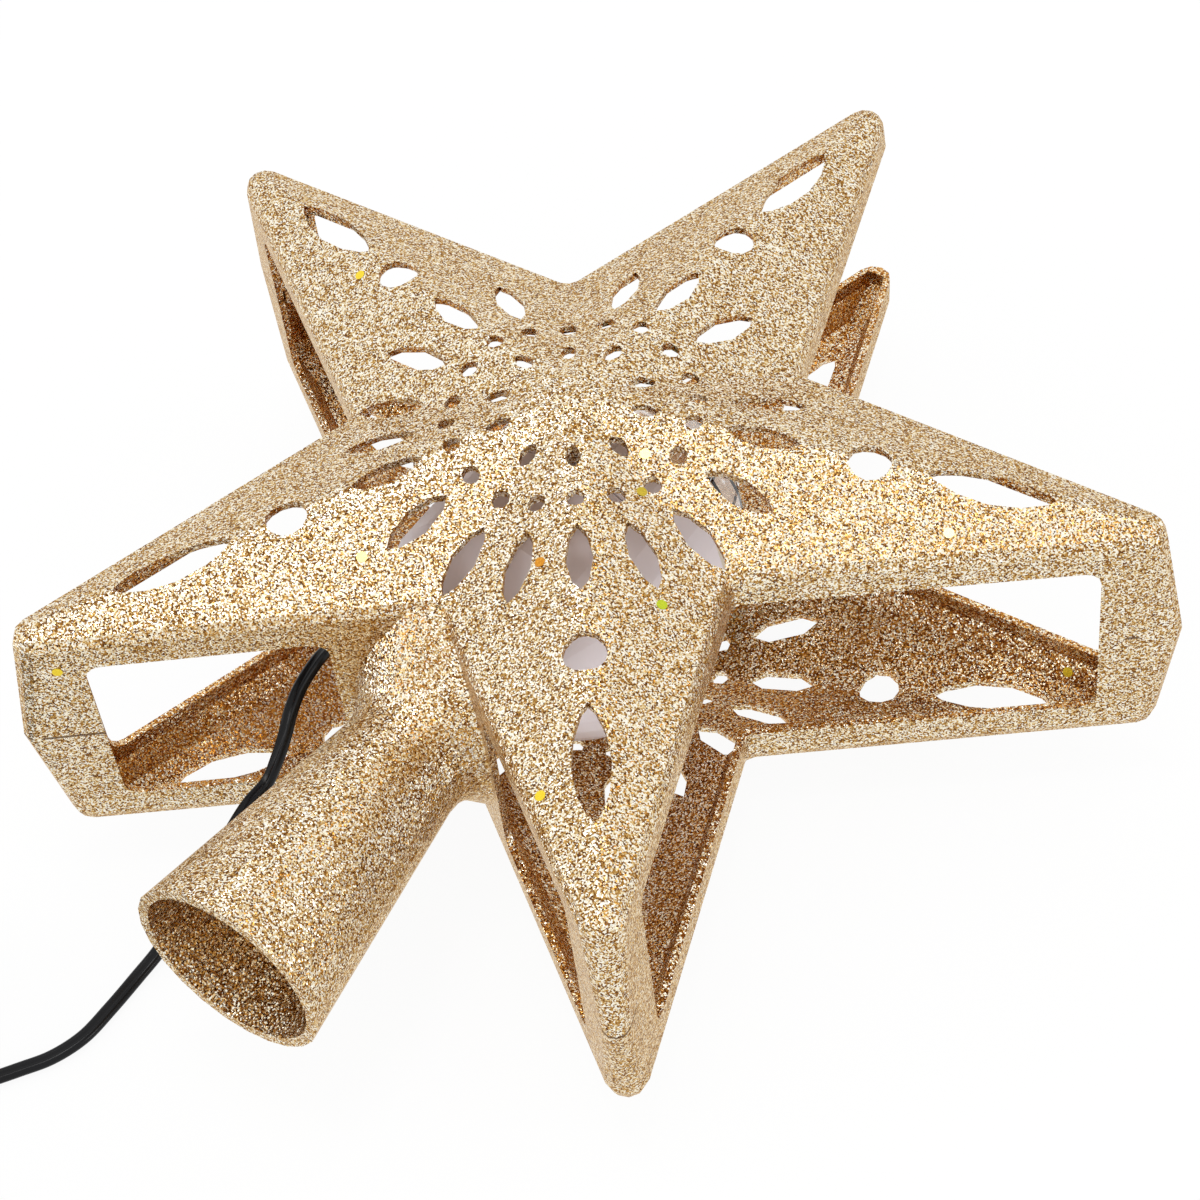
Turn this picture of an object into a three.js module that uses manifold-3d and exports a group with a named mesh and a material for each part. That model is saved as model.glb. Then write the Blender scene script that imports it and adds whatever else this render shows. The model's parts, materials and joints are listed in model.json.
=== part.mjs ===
// Star tree topper with a projector inside, lying on its back as when it is set down on a table.
// Millimetres. +Z points out of the star's front, +Y towards its top point, and z = 0 is the table.
import * as THREE from 'three';
import { mergeVertices } from 'three/addons/utils/BufferGeometryUtils.js';
import Module from 'manifold-3d';

const wasm = await Module();
wasm.setup();

// Star outline
const ARM_ANGLES = [90, 162, 234, 306, 18];   // degrees from +X, the first is the top point
const ARM_STEP = 72;                          // degrees from one arm to the next
const TIP_REACH = 125;                        // centre to where an arm's two edges would meet
const CORNER_REACH = 46.8;                    // centre to the inner corners between the arms
const CORNER_RADIUS = 2;                      // rounding of the inner corners
const TIP_RADIUS_FACE = 4.3;                  // rounding of an arm's end at its faces
const TIP_RADIUS_SEAM = 2.6;                  // rounding of an arm's end at the seam, where it bulges
const WALL = 1.5;                             // moulded wall of both shells

// Star face, measured up from the seam between the two shells
const CREST_HEIGHT = 43.1;                    // where the ten facets would meet over the centre
const EDGE_HEIGHT = 27.3;                     // along the outline
const CAP_HEIGHT = 42.3;                      // level that softens the crest
const CAP_SOFTNESS = 1.5;
const RIDGE_WIDTH = 2.2;                      // half width of the rounded strip along each ridge
const RIDGE_SOFTNESS = 1.6;
const VALLEY_SOFTNESS = 4;
const RIM_FILLET = 3.2;                       // rounding from the face to the rim
const FACE_RINGS = [0.9, 0.3, 0.13];          // where the face's facets are split, as shares of its outline

// Side windows between the shells. The top arm is open right round its end, for the projector's
// light, and beside the socket the windows leave a side wall standing.
const WINDOW_HALF_HEIGHT = 19.6;
const WINDOW_REACH = 104;                     // centre to the windows' ends, along an arm
const WINDOW_CORNER = 3;
const SOCKET_POST = 18;                       // half width of the wall that the socket grows from
const WINDOW_MARGIN = 0.5;                    // how far the cut runs outside the outline

// Pierced pattern, the same in both shells: reach is from the centre to the middle of a hole, and
// skipped holes are counted round from the top point
const PATTERN = {
  seeds: { count: 10, skipped: [], reach: 14.8, length: 5.2, width: 3.2, sides: 8 },
  dots: { count: 20, skipped: [], reach: 24.5, length: 3.7, width: 3.7, sides: 8 },
  petals: { count: 20, skipped: [2, 18], reach: 37.9, length: 15, width: 5.4, sides: 8 },
  rounds: { count: 5, skipped: [], reach: 58.6, length: 8.5, width: 8.5, sides: 12 },
  slots: { count: 5, skipped: [], reach: 81.9, length: 24.6, width: 7.4, sides: 12 },
};
const BACK_SIDES_FEWER = 2;                   // the back shell's holes have this many sides fewer
const HOLE_POINTEDNESS = 1.5;                 // 1 gives an ellipse, 2 gives sharply pointed ends

// Tree socket: a taper that bends into a flare, which runs into both shells
const SOCKET_MOUTH = 119.8;                   // centre to the mouth, along -Y
const SOCKET_MOUTH_RADIUS = 20.4;
const SOCKET_NECK = 65.5;                     // centre to where the socket is narrowest
const SOCKET_NECK_RADIUS = 13;
const FLARE_BEND = 9;                         // radius of the bend from the taper to the flare
const FLARE_SLOPE = 52;                       // degrees from the socket's axis
const FLARE_RADIUS = 27;
const SOCKET_WALL = 2.1;
const SOCKET_SIDES = 24;
const BEND_STEPS = 3;

// Inside the shells
const POST_RADIUS = 6;                        // boss in the middle of each shell
const POST_BORE = 3.2;
const KEY_THICKNESS = 1.8;                    // tongue that lines the two shells up in each arm
const KEY_REACH = 107;
const KEY_DEPTH = 4;
const KEY_HEIGHT = 7;
const KEY_CLEARANCE = 0.3;

// Projector, along the +Y axis; heights are from the star's centre towards its top point
const SEAT = 0.3;                             // gap where one piece rests on another
const CASE_RADIUS = 28.8;
const CASE_WALL = 1.8;
const CASE_FLOOR = -38.5;
const CASE_FLOOR_RADIUS = 20;
const CASE_SHOULDER = -28;                    // where the tapered floor meets the round side
const CASE_SPLIT = -6;                        // joint between base and cover
const CASE_TOP = 5;
const CASE_SIDES = 30;
const COVER_LIP = 2.6;                        // inward lip round the turning carrier
const PILLAR_INSET = 6.2;                     // from the casing's side to a pillar's axis
const PILLAR_RADIUS = 3;
const PILLAR_PILOT = 1.1;
const PILLAR_ANGLES = [60, 180, 300];
const PILLAR_TOP = -10;
const BOSS_TOP = -1;
const PLATE_THICKNESS = 1.6;
const PLATE_CLEARANCE = 0.4;
const PLATE_ARCH = 7;                         // cut-outs that let the wires pass the plate
const PLATE_ARCH_ANGLES = [120, 240];
const SCREW_SHANK = 0.95;
const SCREW_HEAD = 2;
const SCREW_HEAD_HEIGHT = 1.3;
const SCREW_TIP = 1.5;                        // from a screw's end to the top of its boss

// Turning gear: the carrier's wheel and the motor's pinion
const GEAR_MODULE = 1;
const WHEEL_TEETH = 27;
const PINION_TEETH = 9;
const GEAR_LOW = -4.2;
const GEAR_HIGH = -0.6;
const TOOTH_TIP_FILL = 0.2;                   // tooth width over the pitch, at its tip
const TOOTH_ROOT_FILL = 0.6;
const ADDENDUM = 0.75;                        // in modules
const DEDENDUM = 1.15;
const RUNNING_FIT = 0.09;

// Spindle, carrier and dome
const SPINDLE_RADIUS = 4;
const SPINDLE_BORE = 2.2;
const SPINDLE_SHOULDER = 6;
const SPINDLE_TAIL = 2;                       // below the plate that it is pressed into
const SHOULDER_TOP = -5.6;
const SPIGOT_RADIUS = 3.1;                    // carries the lamp board
const WASHER_THICKNESS = 0.6;
const WASHER_RADIUS = 6.6;
const THRUST_GAP = 0.1;
const HUB_RADIUS = 7;
const NECK_RADIUS = 11;
const DISC_LOW = 0.8;
const DISC_HIGH = 2.4;
const SKIRT_GAP = 0.8;                        // from the carrier's skirt to the cover's lip
const SKIRT_WALL = 1.4;
const FLANGE_LOW = 5.8;
const FLANGE_HIGH = 7.2;
const DOME_INSET = 0.8;                       // from the casing's side to the dome's
const DOME_WALL = 1.6;
const DOME_SQUASH = 0.94;
const DOME_SIDES = 20;
const DOME_RINGS = 6;
const CLIP_RADIUS = 6;
const CLIP_THICKNESS = 0.7;
const BOARD_RADIUS = 15;
const BOARD_LOW = 8.6;
const BOARD_THICKNESS = 1.6;

// Lamps, motor and drive board
const LAMP_COUNT = 4;
const LAMP_RADIUS = 2.5;
const LAMP_REACH = 9;
const LAMP_BODY = 4.4;
const LAMP_RIM = 2.9;
const LAMP_RIM_HEIGHT = 1;
const MOTOR_RADIUS = 6.4;
const MOTOR_LENGTH = 17;
const MOTOR_NOSE_RADIUS = 2.6;
const MOTOR_NOSE = 1.6;
const SHAFT_RADIUS = 1;
const SHAFT_DEPTH = 8;
const DRIVER_LENGTH = 22;
const DRIVER_WIDTH = 14;
const DRIVER_THICKNESS = 1.5;
const DRIVER_STANDOFF = 3;
const DRIVER_FOOT = 1.2;
const DRIVER_PLACE = { x: 2, z: 4 };
const CHIP = { size: 6, height: 1.6 };
const CAPACITOR = { radius: 2.5, height: 5.5, x: -6 };

// Lead: thin flex, the bush in the projector's floor, and the coil that it is put away in
const LEAD_RADIUS = 1.55;
const LEAD_SIDES = 8;
const LEAD_GAP = 0.3;                         // between the ends of the lead and what they meet
const BUSH_REACH = 14;                        // from the projector's axis towards -X
const BUSH_RADIUS = 3;
const BUSH_LIP = 4.1;
const BUSH_LIP_HEIGHT = 1.5;
const BUSH_LENGTH = 4.2;                      // below the floor
const BUSH_FIT = 0.15;
const COIL_TURNS = 13;                        // the last one stops where the lead leaves the coil
const COIL_LAYERS = 4;
const COIL_RADIAL_STEP = 3.6;
const COIL_LAYER_STEP = 3.65;
const COIL_RADIUS = 18;                       // mean
const COIL_CENTRE = { x: -86, y: -155.6 };
const COIL_LIFT = 1;                          // the tie runs under the coil
const COIL_HEADING = 232.3;                   // degrees, the way the lead runs into the coil
const COIL_STEPS = 24;                        // per turn
const COIL_SIDES = 6;
const STRAIGHT_END = 4;
const TIE_THICKNESS = 0.6;
const TIE_WIDTH = 3;
const TIE_FIT = 0.3;

// Plug-in supply at the far end of the lead
const SUPPLY = { width: 34, length: 41, height: 25, corner: 4 };
const SUPPLY_LID = 5;
const SUPPLY_RUN = 26;                        // of lead between the coil and the relief
const BLADE = { width: 6.3, thickness: 1.5, length: 17, spacing: 12.7, hole: 1.5 };
const RELIEF = { length: 12, radius: 2.8, tipRadius: 2.2 };

// Route of the lead from its bush, past the back shell's rim, down to the table and towards the
// coil: [x, y, height over the table]
const LEAD_ROUTE = [
  [-14, -43, 41.9], [-14, -46.2, 42.1], [-15.4, -49.8, 43.5], [-18.6, -51.6, 46.1],
  [-22.6, -51.4, 48.1], [-26, -51.2, 47.3], [-28.2, -52.6, 44.9], [-29.6, -55.4, 42.3],
  [-30.4, -59, 39.5], [-30.4, -62.6, 36.5], [-30.3, -66, 32.3], [-30.8, -69.4, 27.7],
  [-31.8, -72.4, 23.6], [-33.2, -77.2, 21.3], [-34.3, -84, 17.2], [-35.9, -92, 11.2],
  [-37.3, -99.5, 5.8], [-38, -106, 2.7], [-38.4, -112.5, 1.7], [-38.3, -121.2, 1.7],
  [-38.7, -129.2, 1.7], [-41.1, -135.9, 1.7], [-44.8, -141.2, 1.7], [-49, -146.8, 1.7],
  [-54, -153.4, 1.8], [-59.3, -160.2, 2.2],
];
const LEAD_STEPS = 42;

const rad = THREE.MathUtils.degToRad;

// Solids, from three.js geometry to a manifold and back

function solid(geometry) {
  const bare = geometry.clone();
  bare.deleteAttribute('normal');
  bare.deleteAttribute('uv');
  const merged = mergeVertices(bare, 1e-4);
  const triangles = [];
  for (let i = 0; i < merged.index.count; i += 3) {
    const [a, b, c] = [0, 1, 2].map((k) => merged.index.getX(i + k));
    if (a !== b && b !== c && c !== a) {
      triangles.push(a, b, c);
    }
  }
  return new wasm.Manifold(new wasm.Mesh({
    numProp: 3,
    vertProperties: new Float32Array(merged.attributes.position.array),
    triVerts: new Uint32Array(triangles),
  }));
}

function geometryOf(manifold) {
  const mesh = manifold.getMesh();
  const geometry = new THREE.BufferGeometry();
  geometry.setAttribute('position', new THREE.BufferAttribute(new Float32Array(mesh.vertProperties), 3));
  geometry.setIndex(new THREE.BufferAttribute(new Uint32Array(mesh.triVerts), 1));
  geometry.computeVertexNormals();
  return geometry;
}

// A closed body through rings of equal count, bottom to top, with a fan over each end.
function loft(rings, lowCentre, highCentre) {
  const count = rings[0].length;
  const points = [...rings.flat(), lowCentre, highCentre];
  const low = rings.length * count;
  const top = low - count;
  const indices = [];
  for (let side = 0; side < count; side += 1) {
    const next = (side + 1) % count;
    for (let level = 0; level < top; level += count) {
      const a = level + side;
      const b = level + next;
      indices.push(a, b, b + count, a, b + count, a + count);
    }
    indices.push(low, next, side, low + 1, top + side, top + next);
  }
  const geometry = new THREE.BufferGeometry().setFromPoints(points);
  geometry.setIndex(indices);
  return solid(geometry);
}

function lathe(profile, sides) {
  return solid(new THREE.LatheGeometry(profile.map(([r, y]) => new THREE.Vector2(r, y)), sides));
}

// A round bar along Y, between two heights.
function bar(radius, low, high, sides, x = 0, z = 0) {
  const geometry = new THREE.CylinderGeometry(radius, radius, high - low, sides);
  geometry.translate(x, (low + high) / 2, z);
  return solid(geometry);
}

function ring(innerRadius, outerRadius, low, high, sides) {
  const profile = [[innerRadius, low], [outerRadius, low], [outerRadius, high], [innerRadius, high]];
  return lathe([...profile, profile[0]], sides);
}

function block(sizeX, sizeY, sizeZ, x, y, z) {
  const geometry = new THREE.BoxGeometry(sizeX, sizeY, sizeZ);
  geometry.translate(x, y, z);
  return solid(geometry);
}

function extrude(shape, depth) {
  return new THREE.ExtrudeGeometry(shape, { depth, steps: 1, bevelEnabled: false, curveSegments: 4 });
}

function union(manifolds) {
  return wasm.Manifold.union(manifolds);
}

function around(reach, degrees) {
  return { x: reach * Math.cos(rad(degrees)), z: reach * Math.sin(rad(degrees)) };
}

// Star outline: each arm in turn gives its rounded end, then the inner corner after it

const HALF_STEP = ARM_STEP / 2;
const cornerSide = CORNER_REACH * Math.sin(rad(HALF_STEP));
const cornerAlong = CORNER_REACH * Math.cos(rad(HALF_STEP));
const edgeSlope = Math.atan2(cornerSide, TIP_REACH - cornerAlong);
const cornerSlope = rad(HALF_STEP) + edgeSlope;
const origin = new THREE.Vector2();

function polar(reach, side, degrees) {
  return new THREE.Vector2(reach, side).rotateAround(origin, rad(degrees));
}

function tipCentre(inset, radius) {
  return TIP_REACH - (inset + radius) / Math.sin(edgeSlope);
}

function starOutline(inset, tipRadius) {
  const points = [];
  const radius = Math.max(tipRadius - inset, TIP_RADIUS_SEAM / 4);
  const centre = tipCentre(inset, radius);
  const hollow = CORNER_REACH + CORNER_RADIUS / Math.sin(cornerSlope);
  for (const degrees of ARM_ANGLES) {
    for (const share of [-1, -0.5, 0, 0.5, 1]) {
      const turn = (Math.PI / 2 - edgeSlope) * share;
      points.push(polar(centre + radius * Math.cos(turn), radius * Math.sin(turn), degrees));
    }
    for (const share of [1, 0, -1]) {
      const turn = Math.PI + (Math.PI / 2 - cornerSlope) * share;
      const reach = CORNER_RADIUS + inset;
      const along = hollow + reach * Math.cos(turn);
      points.push(polar(along, reach * Math.sin(turn), degrees + HALF_STEP));
    }
  }
  return points;
}

// The outline drawn in towards the centre, with a narrow strip along each ridge.
function innerOutline(share) {
  const points = [];
  const reach = tipCentre(0, TIP_RADIUS_FACE) * share;
  const side = Math.min(RIDGE_WIDTH, reach * Math.sin(rad(HALF_STEP)) / 2);
  const bottom = starOutline(RIM_FILLET, TIP_RADIUS_FACE);
  ARM_ANGLES.forEach((degrees, arm) => {
    for (const step of [-1, -1, 0, 1, 1]) {
      points.push(polar(reach, side * step, degrees));
    }
    for (const index of [5, 6, 7]) {
      points.push(bottom[arm * 8 + index].clone().multiplyScalar(share));
    }
  });
  return points;
}

// Height of the face over the seam: ten flat facets, softened at ridges, valleys and crest.
const alongFall = (CREST_HEIGHT - EDGE_HEIGHT) / TIP_REACH;
const acrossFall = ((CREST_HEIGHT - EDGE_HEIGHT) / cornerSide) * (1 - cornerAlong / TIP_REACH);
const valleyRise = acrossFall * Math.cos(rad(HALF_STEP)) - alongFall * Math.sin(rad(HALF_STEP));

function faceHeight({ x, y }) {
  const reach = Math.hypot(x, y);
  const turned = THREE.MathUtils.radToDeg(Math.atan2(y, x)) - ARM_ANGLES[0] + HALF_STEP;
  const offAxis = rad(Math.abs(THREE.MathUtils.euclideanModulo(turned, ARM_STEP) - HALF_STEP));
  const across = reach * Math.sin(offAxis);
  const toValley = reach * Math.sin(rad(HALF_STEP) - offAxis);
  const facet = CREST_HEIGHT - alongFall * reach * Math.cos(offAxis) - acrossFall * across;
  const ridge = acrossFall * (Math.hypot(across, RIDGE_SOFTNESS) - across);
  const valley = valleyRise * (Math.hypot(toValley, VALLEY_SOFTNESS) - toValley);
  const height = facet - ridge + valley;
  return (height + CAP_HEIGHT - Math.hypot(height - CAP_HEIGHT, CAP_SOFTNESS)) / 2;
}

const HUB_HEIGHT = faceHeight(origin);

function raise(points, heightOf) {
  return points.map((p) => new THREE.Vector3(p.x, p.y, heightOf(p)));
}

function axisPoint(z) {
  return new THREE.Vector3(0, 0, z);
}

// The outside of one half of the star, filled, from the seam up to the face.
function starOutside() {
  const rings = [raise(starOutline(0, TIP_RADIUS_SEAM), () => 0)];
  const face = starOutline(RIM_FILLET, TIP_RADIUS_FACE).map(faceHeight);
  for (const degrees of [0, 45, 90]) {
    const drop = RIM_FILLET * (1 - Math.sin(rad(degrees)));
    const outline = starOutline(RIM_FILLET * (1 - Math.cos(rad(degrees))), TIP_RADIUS_FACE);
    rings.push(outline.map((p, i) => new THREE.Vector3(p.x, p.y, face[i] - drop)));
  }
  for (const share of FACE_RINGS) {
    rings.push(raise(innerOutline(share), faceHeight));
  }
  return loft(rings, axisPoint(0), axisPoint(HUB_HEIGHT));
}

// Where the inner sides of an arm's walls would meet.
const hollowTip = TIP_REACH - WALL / Math.sin(edgeSlope);

// The hollow of one half: plain facets under a bevelled rim, a wall's thickness inside.
function starHollow(lowLevel) {
  const reach = tipCentre(0, TIP_RADIUS_FACE) + TIP_RADIUS_FACE - WALL;
  const halfWidth = (hollowTip - reach) * Math.tan(edgeSlope);
  const hollow = CORNER_REACH - WALL / Math.sin(cornerSlope);
  const flat = (inset) => ARM_ANGLES.flatMap((degrees) => {
    const points = [polar(reach, -halfWidth, degrees), polar(reach, halfWidth, degrees),
      polar(hollow, 0, degrees + HALF_STEP)];
    return points.map((p) => p.multiplyScalar(1 - inset / (CORNER_REACH * Math.sin(cornerSlope))));
  });
  const inner = (p) => faceHeight(p) - WALL;
  const rings = [
    raise(flat(0), () => lowLevel),
    raise(flat(0), (p) => inner(p) - RIM_FILLET),
    raise(flat(RIM_FILLET), inner),
    raise(flat(RIM_FILLET).map((p) => p.multiplyScalar(FACE_RINGS[2])), inner),
  ];
  return loft(rings, axisPoint(lowLevel), axisPoint(HUB_HEIGHT - WALL));
}

// Tree socket, filled: from the mouth up the taper, round the bend and out along the flare.
function socketBody(inset) {
  const beyond = inset > 0 ? 1 : 0;
  const mouthRadius = SOCKET_MOUTH_RADIUS - inset;
  const taper = Math.atan2(SOCKET_MOUTH_RADIUS - SOCKET_NECK_RADIUS, SOCKET_MOUTH - SOCKET_NECK);
  const bend = FLARE_BEND + inset;
  const profile = [[0, -SOCKET_MOUTH - beyond], [mouthRadius, -SOCKET_MOUTH - beyond]];
  for (let step = 0; step <= BEND_STEPS; step += 1) {
    const turn = THREE.MathUtils.lerp(-taper, rad(FLARE_SLOPE), step / BEND_STEPS);
    const radius = SOCKET_NECK_RADIUS + FLARE_BEND - bend * Math.cos(turn);
    profile.push([radius, bend * Math.sin(turn) - SOCKET_NECK]);
  }
  const [bentRadius, bentEnd] = profile[profile.length - 1];
  const radius = FLARE_RADIUS - inset;
  const top = bentEnd + (radius - bentRadius) / Math.tan(rad(FLARE_SLOPE));
  profile.push([radius, top], [radius, top + WALL * 2], [0, top + WALL * 2]);
  return lathe(profile, SOCKET_SIDES);
}

// Pierced pattern: prisms that run right through one shell.
function holeShape({ length, width }, sides) {
  const power = length > width ? HOLE_POINTEDNESS : 1;
  const points = [];
  for (let side = 0; side < sides; side += 1) {
    const turn = (side / sides) * Math.PI * 2;
    const across = Math.sign(Math.sin(turn)) * Math.abs(Math.sin(turn)) ** power;
    points.push(new THREE.Vector2((Math.cos(turn) * length) / 2, (across * width) / 2));
  }
  return new THREE.Shape(points);
}

function patternHoles(fewerSides) {
  const holes = [];
  for (const hole of Object.values(PATTERN)) {
    const shape = holeShape(hole, hole.sides - fewerSides);
    for (let index = 0; index < hole.count; index += 1) {
      if (hole.skipped.includes(index)) {
        continue;
      }
      const geometry = extrude(shape, CREST_HEIGHT);
      geometry.translate(hole.reach, 0, WINDOW_HALF_HEIGHT);
      geometry.rotateZ(rad(ARM_ANGLES[0] + (index * 360) / hole.count));
      holes.push(solid(geometry));
    }
  }
  return union(holes);
}

// The wall beside the socket, with hollow-rounded upper ends, seen along Y.
function socketPost() {
  const side = SOCKET_POST + WINDOW_CORNER;
  const level = WINDOW_HALF_HEIGHT - WINDOW_CORNER;
  const shape = new THREE.Shape();
  shape.moveTo(-SOCKET_POST, -WINDOW_HALF_HEIGHT);
  shape.lineTo(SOCKET_POST, -WINDOW_HALF_HEIGHT);
  shape.absarc(side, level, WINDOW_CORNER, Math.PI, Math.PI / 2, true);
  shape.absarc(-side, level, WINDOW_CORNER, Math.PI / 2, 0, true);
  return solid(extrude(shape, TIP_REACH).rotateX(Math.PI / 2));
}

// Half of the gap between the shells: the outline, cut off across four arms with rounded corners
// and open right round the end of the top one.
function windowCut() {
  const outline = starOutline(-WINDOW_MARGIN, TIP_RADIUS_SEAM);
  const low = -WALL;
  const levels = [low, WINDOW_HALF_HEIGHT];
  const star = loft(levels.map((z) => raise(outline, () => z)), ...levels.map(axisPoint));
  const pentagon = (reach, z) => ARM_ANGLES.map((degrees) => {
    const turn = rad(degrees + HALF_STEP);
    const radius = reach / Math.cos(rad(HALF_STEP));
    return new THREE.Vector3(radius * Math.cos(turn), radius * Math.sin(turn), z);
  });
  const rings = [pentagon(WINDOW_REACH, low)];
  for (const degrees of [0, 30, 60, 90]) {
    const drawnIn = WINDOW_CORNER * (1 - Math.cos(rad(degrees)));
    const drop = WINDOW_CORNER * (1 - Math.sin(rad(degrees)));
    rings.push(pentagon(WINDOW_REACH - drawnIn, WINDOW_HALF_HEIGHT - drop));
  }
  const height = WINDOW_HALF_HEIGHT - low;
  const topEnd = block(TIP_REACH, TIP_REACH, height, 0, CORNER_REACH + TIP_REACH / 2, low + height / 2);
  const reached = loft(rings, axisPoint(low), axisPoint(WINDOW_HALF_HEIGHT)).add(topEnd);
  return star.intersect(reached).subtract(socketPost());
}

// A tongue in each closed arm's end, wide where it joins its own shell and narrower where it
// enters the other one.
function keys() {
  const halfWidth = (hollowTip - KEY_REACH - KEY_THICKNESS / 2) * Math.tan(edgeSlope);
  const wide = (halfWidth + WALL / 2) * 2;
  const narrow = (halfWidth - KEY_CLEARANCE) * 2;
  return union(ARM_ANGLES.slice(1).map((degrees) => {
    const tongue = block(KEY_THICKNESS, wide, KEY_HEIGHT, KEY_REACH, 0, KEY_HEIGHT / 2)
      .add(block(KEY_THICKNESS, narrow, KEY_DEPTH + 1, KEY_REACH, 0, (1 - KEY_DEPTH) / 2));
    return tongue.rotate([0, 0, degrees]);
  }));
}

// The boss that holds the projector's casing from one side; the other shell's holds it opposite.
function caseBoss() {
  const roof = HUB_HEIGHT - WALL / 2;
  const low = CASE_RADIUS + SEAT;
  const post = new THREE.CylinderGeometry(POST_RADIUS, POST_RADIUS, roof - low, 16);
  const bore = new THREE.CylinderGeometry(POST_BORE, POST_BORE, roof - low, 10);
  for (const geometry of [post, bore]) {
    geometry.rotateX(Math.PI / 2);
    geometry.translate(0, 0, (roof + low) / 2);
  }
  return solid(post).subtract(solid(bore).translate([0, 0, -WALL]));
}

function shell(fewerSides) {
  const big = SOCKET_MOUTH * 2;
  const upperHalf = block(big, big, big, 0, -big / 4, big / 2);
  const outside = starOutside().add(socketBody(0).intersect(upperHalf));
  const inside = starHollow(-1).add(socketBody(SOCKET_WALL));
  return outside.subtract(inside).subtract(windowCut()).subtract(patternHoles(fewerSides))
    .add(caseBoss());
}

// Projector casing

// Level on which the case screws' heads sit, in pockets that open in the tapered floor.
const screwSeat = CASE_SHOULDER + CASE_WALL * 2;
const caseInner = CASE_RADIUS - CASE_WALL;
const pillarReach = CASE_RADIUS - PILLAR_INSET;

function caseBase() {
  const outside = [[CASE_FLOOR_RADIUS, CASE_FLOOR], [CASE_RADIUS, CASE_SHOULDER], [CASE_RADIUS, CASE_SPLIT]];
  const inside = [
    [caseInner, CASE_SPLIT], [caseInner, CASE_SHOULDER + CASE_WALL / 2],
    [CASE_FLOOR_RADIUS - CASE_WALL / 2, CASE_FLOOR + CASE_WALL],
  ];
  const cup = lathe([[0, CASE_FLOOR], ...outside, ...inside, [0, CASE_FLOOR + CASE_WALL]], CASE_SIDES);
  const filled = lathe([[0, CASE_FLOOR], ...outside, [0, CASE_SPLIT]], CASE_SIDES);
  const pillars = [];
  const cuts = [bar(BUSH_RADIUS + BUSH_FIT, CASE_FLOOR - 1, CASE_FLOOR + CASE_WALL + 1, 16, -BUSH_REACH)];
  for (const degrees of PILLAR_ANGLES) {
    const { x, z } = around(pillarReach, degrees);
    pillars.push(bar(PILLAR_RADIUS, CASE_FLOOR, PILLAR_TOP, 12, x, z));
    cuts.push(bar(SCREW_SHANK + SEAT, CASE_FLOOR, PILLAR_TOP + 1, 8, x, z));
    cuts.push(bar(SCREW_HEAD + SEAT, CASE_FLOOR - 1, screwSeat, 12, x, z));
  }
  return cup.add(union(pillars).intersect(filled)).subtract(union(cuts));
}

const plateLow = PILLAR_TOP + SEAT;
const plateTop = plateLow + PLATE_THICKNESS;

function caseCover() {
  const low = CASE_SPLIT + SEAT;
  const lip = CASE_TOP - CASE_WALL;
  let body = lathe([
    [caseInner, low], [CASE_RADIUS, low], [CASE_RADIUS, CASE_TOP], [CASE_RADIUS - COVER_LIP, CASE_TOP],
    [CASE_RADIUS - COVER_LIP, lip], [caseInner, lip], [caseInner, low],
  ], CASE_SIDES);
  for (const degrees of PILLAR_ANGLES) {
    const { x, z } = around(pillarReach, degrees);
    const web = around(pillarReach + PILLAR_RADIUS, degrees);
    const boss = bar(PILLAR_RADIUS, plateTop + SEAT, BOSS_TOP, 12, x, z)
      .add(bar(PILLAR_RADIUS * 0.7, low, BOSS_TOP, 8, web.x, web.z))
      .intersect(bar(CASE_RADIUS - CASE_WALL / 2, CASE_SPLIT * 2, CASE_TOP, CASE_SIDES));
    body = body.add(boss).subtract(bar(PILLAR_PILOT, plateTop, BOSS_TOP - SCREW_TIP + SEAT, 8, x, z));
  }
  return body;
}

const motorAxis = (GEAR_MODULE * (WHEEL_TEETH + PINION_TEETH)) / 2;

function chassisPlate() {
  const edge = caseInner - PLATE_CLEARANCE;
  const cut = (radius, x, z, sides) => bar(radius, plateLow - 1, plateTop + 1, sides, x, z);
  const cuts = [cut(SPINDLE_RADIUS, 0, 0, 20), cut(MOTOR_NOSE_RADIUS + SEAT, motorAxis, 0, 14)];
  for (const degrees of PILLAR_ANGLES) {
    const { x, z } = around(pillarReach, degrees);
    cuts.push(cut(SCREW_SHANK + SEAT, x, z, 8));
  }
  for (const degrees of PLATE_ARCH_ANGLES) {
    const { x, z } = around(edge, degrees);
    cuts.push(cut(PLATE_ARCH, x, z, 14));
  }
  return bar(edge, plateLow, plateTop, CASE_SIDES).subtract(union(cuts));
}

// Spindle: pressed through the plate, with the shoulder that carries the turning parts.
function spindle() {
  const foot = plateLow - SPINDLE_TAIL;
  const shoulder = plateTop + SEAT;
  const top = BOARD_LOW - THRUST_GAP;
  const spigotTop = BOARD_LOW + BOARD_THICKNESS;
  const pressed = SPINDLE_RADIUS - RUNNING_FIT;
  return lathe([
    [SPINDLE_BORE, foot], [pressed, foot], [pressed, shoulder], [SPINDLE_SHOULDER, shoulder],
    [SPINDLE_SHOULDER, SHOULDER_TOP], [SPINDLE_RADIUS, SHOULDER_TOP], [SPINDLE_RADIUS, top],
    [SPIGOT_RADIUS, top], [SPIGOT_RADIUS, spigotTop], [SPINDLE_BORE, spigotTop], [SPINDLE_BORE, foot],
  ], 20);
}

const washerLow = SHOULDER_TOP + THRUST_GAP;
const hubLow = washerLow + WASHER_THICKNESS + THRUST_GAP;

function thrustWasher() {
  return ring(SPINDLE_RADIUS + RUNNING_FIT, WASHER_RADIUS, washerLow, washerLow + WASHER_THICKNESS, 20);
}

function retainingClip() {
  const low = DISC_HIGH + THRUST_GAP;
  return ring(SPINDLE_RADIUS + RUNNING_FIT / 2, CLIP_RADIUS, low, low + CLIP_THICKNESS, 20);
}

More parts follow.
